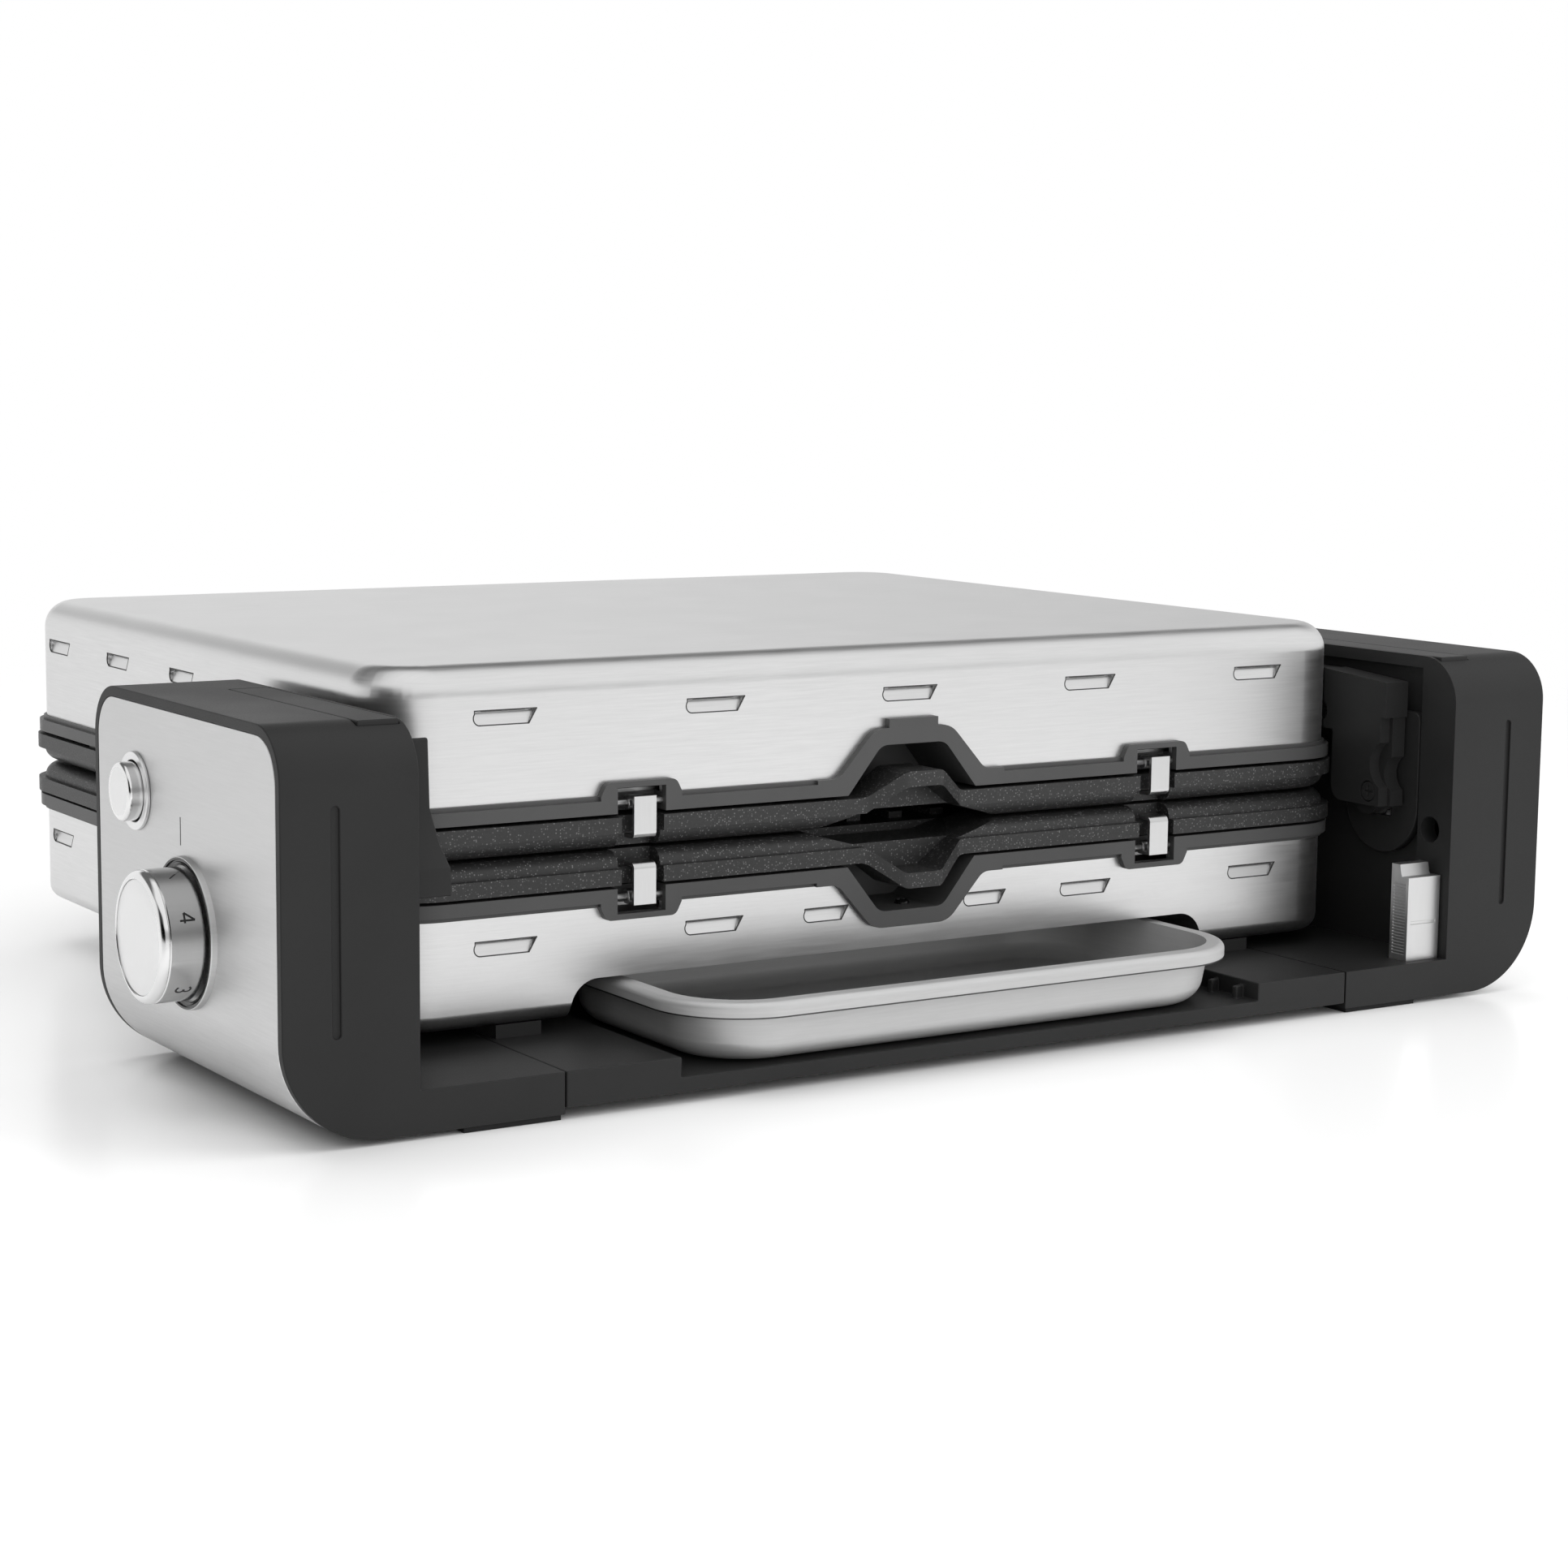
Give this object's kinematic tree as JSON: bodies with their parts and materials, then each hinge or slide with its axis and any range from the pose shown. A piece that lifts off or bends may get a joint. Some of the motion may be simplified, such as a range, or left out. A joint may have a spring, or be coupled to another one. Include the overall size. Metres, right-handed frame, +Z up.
{
  "type": "contact grill",
  "caption": "Countertop contact grill: ribbed plates in stainless shells, lid on a floating hinge between pillars, plate clips, pour spouts, side dial and a slide-out drip tray.",
  "frame": {"origin": "middle of the overall bounding box, on the floor plane the rubber pads stand on", "axes": "+Z up, +X along the width with the dial at -X, -Y toward the hinge and tray side, +Y toward the handle"},
  "size_m": [0.4646, 0.3734, 0.121],
  "materials": {
    "steel": "brushed stainless sheet",
    "dark": "satin charcoal moulding",
    "coat": "dark non-stick coating with fine speckle",
    "bright": "polished steel",
    "alloy": "plain metal",
    "soft": "matte rubber"
  },
  "bodies": {
    "base": {"base_plate": "dark", "pillar_left": "dark", "pillar_right": "dark", "panel_left": "steel", "panel_right": "steel", "cap_left": "dark", "cap_right": "dark", "guide_left": "dark", "guide_right": "dark", "rail_left": "dark", "rail_right": "dark", "lower_shell": "steel", "lower_rim": "dark", "lower_plate": "coat", "lower_heater": "alloy", "lower_reflector": "alloy", "lower_pin_left": "bright", "lower_pin_right": "bright", "dial_bezel": "dark", "button_bezel": "bright", "thermostat": "alloy", "power_switch": "dark", "pad_front_left": "soft", "pad_front_right": "soft", "pad_back_left": "soft", "pad_back_right": "soft", "pad_far_left": "soft", "pad_far_right": "soft"},
    "hinge_carriage": {"hinge_block_left": "alloy", "hinge_block_right": "alloy"},
    "lid": {"lid_shell": "steel", "upper_rim": "dark", "upper_plate": "coat", "upper_heater": "alloy", "upper_reflector": "alloy", "arm_left": "dark", "arm_right": "dark", "hinge_pin_left": "bright", "hinge_pin_right": "bright", "cable_cover": "dark", "screw_top_left": "dark", "screw_top_right": "dark", "screw_low_left": "dark", "screw_low_right": "dark", "handle_grip": "dark", "bracket_left": "steel", "bracket_right": "steel", "upper_pin_left": "bright", "upper_pin_right": "bright"},
    "dial": {"dial_knob": "steel", "dial_cap": "bright", "dial_shaft": "alloy"},
    "button": {"power_button": "bright"},
    "latch": {"stop_latch": "bright"},
    "tray": {"drip_tray": "steel"},
    "lower_clip_left": {"clip_lower_left": "bright"},
    "lower_clip_right": {"clip_lower_right": "bright"},
    "upper_clip_left": {"clip_upper_left": "bright"},
    "upper_clip_right": {"clip_upper_right": "bright"}
  },
  "joints": [
    {"name": "lid_float", "type": "slide", "parent": "base", "child": "hinge_carriage", "axis": [0, 0, 1], "range_m": [0, 0.018]},
    {"name": "lid_hinge", "type": "hinge", "parent": "hinge_carriage", "child": "lid", "pos_m": [0.0073, -0.14825, 0.0635], "axis": [1, 0, 0], "range_deg": [0, 95]},
    {"name": "dial_turn", "type": "hinge", "parent": "base", "child": "dial", "pos_m": [-0.2177, -0.11825, 0.0492], "axis": [1, 0, 0], "range_deg": [0, 270]},
    {"name": "button_press", "type": "slide", "parent": "base", "child": "button", "axis": [1, 0, 0], "range_m": [0, 0.0025], "stiffness_N_per_m": 400, "springref_m": -0.002},
    {"name": "latch_press", "type": "slide", "parent": "base", "child": "latch", "axis": [0, 0, -1], "range_m": [0, 0.006], "stiffness_N_per_m": 300, "springref_m": -0.003},
    {"name": "tray_slide", "type": "slide", "parent": "base", "child": "tray", "axis": [0, -1, 0], "range_m": [0, 0.08]},
    {"name": "lower_clip_left_turn", "type": "hinge", "parent": "base", "child": "lower_clip_left", "pos_m": [-0.0877, -0.13815, 0.0518], "axis": [1, 0, 0], "range_deg": [0, 25], "stiffness_Nm_per_rad": 0.01, "springref_deg": -11.46},
    {"name": "upper_clip_left_turn", "type": "hinge", "parent": "lid", "child": "upper_clip_left", "pos_m": [-0.0877, -0.13815, 0.0794], "axis": [-1, 0, 0], "range_deg": [0, 25], "stiffness_Nm_per_rad": 0.01, "springref_deg": -11.46},
    {"name": "lower_clip_right_turn", "type": "hinge", "parent": "base", "child": "lower_clip_right", "pos_m": [0.1023, -0.13815, 0.0518], "axis": [1, 0, 0], "range_deg": [0, 25], "stiffness_Nm_per_rad": 0.01, "springref_deg": -11.46},
    {"name": "upper_clip_right_turn", "type": "hinge", "parent": "lid", "child": "upper_clip_right", "pos_m": [0.1023, -0.13815, 0.0794], "axis": [-1, 0, 0], "range_deg": [0, 25], "stiffness_Nm_per_rad": 0.01, "springref_deg": -11.46}
  ]
}
